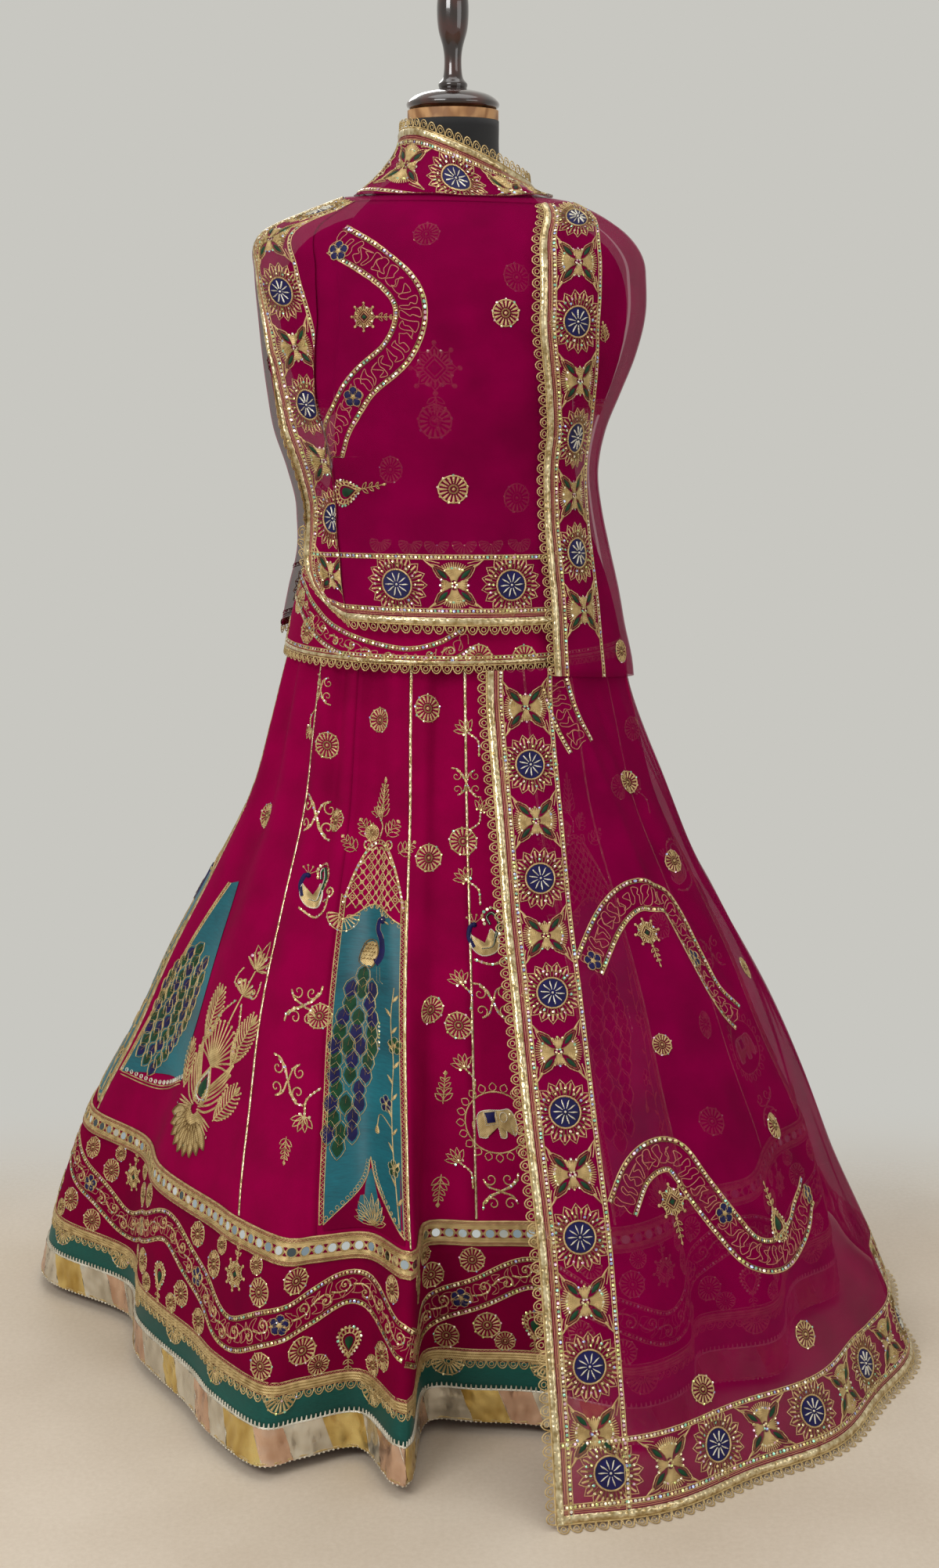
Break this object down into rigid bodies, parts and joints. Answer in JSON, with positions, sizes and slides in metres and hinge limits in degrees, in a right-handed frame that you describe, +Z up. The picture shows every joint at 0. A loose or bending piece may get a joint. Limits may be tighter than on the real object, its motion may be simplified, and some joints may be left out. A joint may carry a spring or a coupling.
{
  "type": "lehenga choli on a dress form",
  "caption": "Flared panelled skirt, short-sleeved tunic and draped sheer shawl with gold borders, worn by a limbless dress form on a round stand.",
  "frame": {"origin": "centre of the flat underside of the stand's round base, on the floor", "axes": "+Z up along the dress form's axis, -Y to the front of the garment, +X to the viewer's right"},
  "size_m": [1.138, 1.1812, 1.6741],
  "materials": {
    "form_jersey": "black jersey over padding",
    "form_light_wood": "pale sanded wood",
    "form_dark_wood": "dark glossy turned wood",
    "stand_metal": "dark satin metal",
    "magenta_georgette": "matt magenta georgette, embroidered",
    "kurti_georgette": "matt magenta georgette, embroidered",
    "border_georgette": "matt magenta georgette border with gold vine",
    "sheer_georgette": "sheer magenta georgette, embroidered",
    "teal_silk": "teal silk with a soft sheen",
    "gold_lace": "antique gold thread lace",
    "foil_patchwork": "gold, silver and rose foil patches",
    "mirror_trim": "gold braid with small round mirrors"
  },
  "bodies": {
    "root": {"border_band": "border_georgette", "dupatta_back": "sheer_georgette", "dupatta_back_lace": "gold_lace", "dupatta_chest": "sheer_georgette", "dupatta_chest_lace": "gold_lace", "dupatta_left_fall": "sheer_georgette", "dupatta_left_fall_lace": "gold_lace", "dupatta_lower": "sheer_georgette", "dupatta_lower_lace": "gold_lace", "dupatta_neck": "sheer_georgette", "dupatta_neck_lace": "gold_lace", "dupatta_right_fall": "sheer_georgette", "dupatta_right_fall_lace": "gold_lace", "dupatta_shoulders": "sheer_georgette", "foil_hem": "foil_patchwork", "form_cap": "form_dark_wood", "form_finial": "form_dark_wood", "form_neck_block": "form_light_wood", "form_torso": "form_jersey", "hem_lace": "gold_lace", "kali_01": "magenta_georgette", "kali_02": "magenta_georgette", "kali_03": "magenta_georgette", "kali_04": "magenta_georgette", "kali_05": "magenta_georgette", "kali_06": "magenta_georgette", "kali_07": "magenta_georgette", "kali_08": "magenta_georgette", "kali_09": "magenta_georgette", "kali_10": "magenta_georgette", "kali_11": "magenta_georgette", "kali_12": "magenta_georgette", "kali_13": "magenta_georgette", "kali_14": "magenta_georgette", "kali_15": "magenta_georgette", "kali_16": "magenta_georgette", "kali_17": "magenta_georgette", "kali_18": "magenta_georgette", "kurti_back": "kurti_georgette", "kurti_front": "kurti_georgette", "kurti_hem_lace": "gold_lace", "mirror_band": "mirror_trim", "skirt_waistband": "magenta_georgette", "sleeve_left": "kurti_georgette", "sleeve_left_lace": "gold_lace", "sleeve_right": "kurti_georgette", "sleeve_right_lace": "gold_lace", "stand_base": "stand_metal", "stand_pole": "stand_metal", "teal_band": "teal_silk"}
  },
  "joints": []
}
